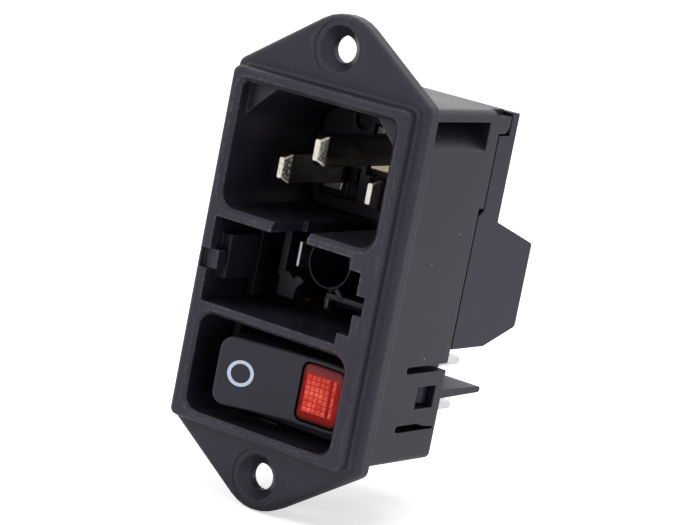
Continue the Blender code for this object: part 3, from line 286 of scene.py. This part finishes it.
def resistorCoat(name):
    f = Finish(name, ceramic["shown"])
    cloud = f.between(f.noise(ceramic["cloud"], 3), 0.4, 0.65)
    colour = f.blend(cloud, ceramic["colour"], ceramic["dark"])
    return f.set(base=colour, rough=0.35 + cloud * 0.1, normal=f.bump(cloud, ceramic["relief"], 0.5))


def printInk(name, look):
    f = Finish(name, look["ink"])
    wear = f.between(f.noise(look["wear"], 3), 0.62, 0.8)
    colour = f.blend(wear * 0.4, look["ink"], look["thin"])
    relief = f.bump(f.noise(moulding["grain"], 2), look["relief"], 0.5)
    return f.set(base=colour, rough=0.45 + wear * 0.2, normal=relief)


# Shared shape helpers
def finished(name, bm, material, body, smooth=40):
    bmesh.ops.remove_doubles(bm, verts=bm.verts, dist=1e-7)
    bmesh.ops.recalc_face_normals(bm, faces=bm.faces)
    mesh = bpy.data.meshes.new(name)
    bm.to_mesh(mesh)
    bm.free()
    mesh.materials.append(material)
    mesh.shade_smooth()
    mesh.set_sharp_from_angle(angle=math.radians(smooth))
    piece = bpy.data.objects.new(name, mesh)
    bpy.context.scene.collection.objects.link(piece)
    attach(piece, body)
    return piece


# The rocker: its pivot in the frame, its tilt at rest and its dished face
rocker = {"pivot": (0, 4.9 * mm, -15.375 * mm), "tilt": 12.0, "reach": 7.3 * mm, "dish": 30.0 * mm}


def onRocker(bm):
    tilt = Matrix.Rotation(math.radians(rocker["tilt"]), 4, "Z")
    bmesh.ops.transform(bm, verts=bm.verts, matrix=Matrix.Translation(rocker["pivot"]) @ tilt)


def facePlace(x):
    return -rocker["reach"] - x * x / (2 * rocker["dish"])


def newVerts(result):
    return [item for item in result["geom"] if isinstance(item, bmesh.types.BMVert)]


# Printed O on the raised end of the rocker
ring = {"x": -6.0 * mm, "z": 0.07 * mm, "outer": 1.72 * mm, "inner": 1.27 * mm, "film": 0.02 * mm,
        "thickness": 0.03 * mm, "sides": 72, "ink": (0.50, 0.56, 0.72), "thin": (0.25, 0.27, 0.33),
        "wear": 2400, "relief": 0.006 * mm}


def makeRing(surface):
    bm = bmesh.new()
    turn = Matrix.Rotation(math.radians(90), 4, "X")
    for radius in (ring["inner"], ring["outer"]):
        bmesh.ops.create_circle(bm, segments=ring["sides"], radius=radius, matrix=turn)
    bmesh.ops.bridge_loops(bm, edges=bm.edges[:])
    bmesh.ops.recalc_face_normals(bm, faces=bm.faces)
    for vert in bm.verts:
        x = vert.co.x + ring["x"]
        vert.co = Vector((x, facePlace(x) - ring["film"], vert.co.z + ring["z"]))
    walls = bmesh.ops.extrude_face_region(bm, geom=bm.faces[:])
    bmesh.ops.translate(bm, verts=newVerts(walls), vec=(0, ring["thickness"], 0))
    onRocker(bm)
    finished("oMark", bm, surface, "rocker_body", 60)


# Prisms moulded into the lens: a field of five columns and a narrow column near its right edge
# fields: left end, columns, column pitch, rows, row pitch
# the prism cells are coloured lighter than the grooves of the same red plastic: a painted highlight
prisms = {"fields": ((2.98 * mm, 5, 0.715 * mm, 7, 0.710 * mm), (6.93 * mm, 1, 0.60 * mm, 7, 0.710 * mm)),
          "groove": 0.05 * mm, "rise": 0.20 * mm, "sunk": 0.05 * mm, "lens": 0.15 * mm,
          "paintedHighlight": (0.90, 0.145, 0.105), "warm": (0.62, 0.060, 0.038), "ground": (0.42, 0.008, 0.004),
          "rough": 0.30, "groundRough": 0.35}


def makePrisms(facets, ground):
    bm = bmesh.new()
    turn = Matrix.Rotation(math.radians(90), 4, "X")
    for left, columns, pitch, rows, row in prisms["fields"]:
        wide, tall = columns * pitch, rows * row
        place = Matrix.Translation((left + wide / 2, 0, 0)) @ turn @ Matrix.Diagonal((wide, tall, 1, 1))
        bmesh.ops.create_grid(bm, x_segments=columns, y_segments=rows, size=0.5, matrix=place)
    cells = bm.faces[:]
    skirt = bmesh.ops.extrude_edge_only(bm, edges=[edge for edge in bm.edges if edge.is_boundary])
    bmesh.ops.translate(bm, verts=newVerts(skirt), vec=(0, prisms["sunk"], 0))
    bmesh.ops.holes_fill(bm, edges=[edge for edge in bm.edges if edge.is_boundary])
    bmesh.ops.inset_individual(bm, faces=cells, thickness=prisms["groove"])
    bmesh.ops.inset_individual(bm, faces=cells, thickness=prisms["groove"] / 2, depth=0)
    for face in cells:
        face.material_index = 1
    tops = bmesh.ops.poke(bm, faces=cells)
    for vert in tops["verts"]:
        vert.co.y -= prisms["rise"]
    for vert in bm.verts:
        vert.co.y += facePlace(vert.co.x) - prisms["lens"] - prisms["sunk"] / 2
    onRocker(bm)
    piece = finished("lensPrisms", bm, ground, "rocker_body", 25)
    piece.data.materials.append(facets)


# Small tab under the rocker, on the floor of the switch bay against the frame
lipTab = {"centre": (-2.4 * mm, 1.9 * mm, -21.70 * mm), "size": (2.9 * mm, 0.9 * mm, 0.4 * mm),
          "round": 0.12 * mm}


def makeLipTab(surface):
    bm = bmesh.new()
    place = Matrix.Translation(lipTab["centre"]) @ Matrix.Diagonal((*lipTab["size"], 1))
    bmesh.ops.create_cube(bm, size=1.0, matrix=place)
    bmesh.ops.bevel(bm, geom=bm.edges[:], offset=lipTab["round"], segments=2, profile=0.5,
                    affect="EDGES", material=-1)
    piece = finished("lipTab", bm, surface, "housing")


def dressNodes():
    housing = mouldedPlastic("housingPlastic", housingPlastic)
    hood = mouldedPlastic("coverPlastic", coverPlastic)
    box = mouldedPlastic("switchPlastic", switchPlastic)
    cap = mouldedPlastic("rockerPlastic", rockerPlastic)
    blades = platedMetal("nickelPlate", nickel)
    tabs = platedMetal("tinPlate", tin)
    alloy = platedMetal("copperAlloy", copper)
    wire = platedMetal("springSteel", springSteel)
    surfaces = {
        "front_housing": housing, "rear_cover": hood, "pin_carrier": housing, "fuse_carrier": housing,
        "switch_housing": box, "rocker": cap, "line_blade": blades, "neutral_blade": blades,
        "earth_blade": blades, "fuse_side_contact": tabs, "fuse_end_contact": tabs, "line_link": alloy,
        "neutral_link": alloy, "contact_arm_upper": alloy, "contact_arm_lower": alloy,
        "input_contact_upper": alloy, "input_contact_lower": alloy, "output_terminal_upper": tabs,
        "output_terminal_lower": tabs, "plunger_upper": alloy, "plunger_lower": alloy,
        "plunger_spring_upper": wire, "plunger_spring_lower": wire,
        "rocker_lens": redPlastic("lensRed", lens["colour"], lens["deep"], lens["rough"], lens["thick"]),
        "neon_lamp": lampGlass("lampGlass"), "lamp_resistor": resistorCoat("resistorCoat")}
    for name, material in surfaces.items():
        mesh = nodes[name].data
        mesh.materials.clear()
        mesh.materials.append(material)


# Studio: white surround, soft lamps (place, size, power) and a floor under the lower ear
studio = {"floor": -32.55 * mm, "half": 6.0, "paper": (0.90, 0.90, 0.90), "mottle": (0.885, 0.885, 0.885),
          "glow": 0.58, "world": 0.42,
          "lamps": {"softLeft": ((-0.55, -0.75, 0.55), 0.60, 5.5),
                    "softRight": ((0.85, -0.45, 0.10), 0.40, 2.4),
                    "softTop": ((0.10, 0.05, 0.95), 0.70, 5.0)}}


def makeFloor():
    f = Finish("floorPaper", studio["paper"])
    mottle = f.between(f.noise(3, 3), 0.3, 0.7)
    f.set(base=f.blend(mottle, studio["paper"], studio["mottle"]), rough=0.9, specular=0.0)
    seen = f.add("ShaderNodeLightPath", out="Is Camera Ray")
    glow = f.add("ShaderNodeEmission", inputs={"Color": (1, 1, 1), "Strength": seen * studio["glow"]})
    both = f.add("ShaderNodeAddShader", inputs={0: Wire(f, f.shader.outputs[0]), 1: glow})
    f.tree.links.new(both.socket, f.output.inputs["Surface"])
    bm = bmesh.new()
    bmesh.ops.create_grid(bm, x_segments=1, y_segments=1, size=studio["half"],
                          matrix=Matrix.Translation((0, 0, studio["floor"])))
    mesh = bpy.data.meshes.new("floor")
    bm.to_mesh(mesh)
    bm.free()
    mesh.materials.append(f.material)
    sheet = bpy.data.objects.new("floor", mesh)
    bpy.context.scene.collection.objects.link(sheet)


def makeSurround():
    world = bpy.data.worlds.new("surround")
    bpy.context.scene.world = world
    world.use_nodes = True
    tree = world.node_tree
    path = tree.nodes.new("ShaderNodeLightPath")
    seen = path.outputs["Is Camera Ray"]
    for ray in ("Is Glossy Ray", "Is Transmission Ray"):
        either = tree.nodes.new("ShaderNodeMath")
        either.operation = "MAXIMUM"
        tree.links.new(seen, either.inputs[0])
        tree.links.new(path.outputs[ray], either.inputs[1])
        seen = either.outputs[0]
    level = tree.nodes.new("ShaderNodeMapRange")
    level.inputs["To Min"].default_value = studio["world"]
    tree.links.new(seen, level.inputs["Value"])
    back = tree.nodes["Background"]
    tree.links.new(level.outputs["Result"], back.inputs["Strength"])
    back.inputs["Color"].default_value = (1, 1, 1, 1)


def makeLamps():
    for name, (place, size, power) in studio["lamps"].items():
        data = bpy.data.lights.new(name, "AREA")
        data.shape = "DISK"
        data.size = size
        data.energy = power
        lamp = bpy.data.objects.new(name, data)
        lamp.location = place
        lamp.visible_glossy = False
        lamp.rotation_mode = "QUATERNION"
        lamp.rotation_quaternion = (-Vector(place)).to_track_quat("-Z", "Y")
        bpy.context.scene.collection.objects.link(lamp)


setCamera()
makeSurround()
makeLamps()
makeFloor()
print("camera and studio set")
dressNodes()
print("CAD nodes dressed")
makeLipTab(nodes["switch_housing"].data.materials[0])
makeRing(printInk("printInk", ring))
makePrisms(redPlastic("prismRedHighlight", prisms["paintedHighlight"], prisms["warm"], prisms["rough"]),
           redPlastic("grooveRed", prisms["ground"], lens["deep"], prisms["groundRough"]))
print("rocker pieces made")

bpy.context.scene.view_settings.view_transform = "Standard"
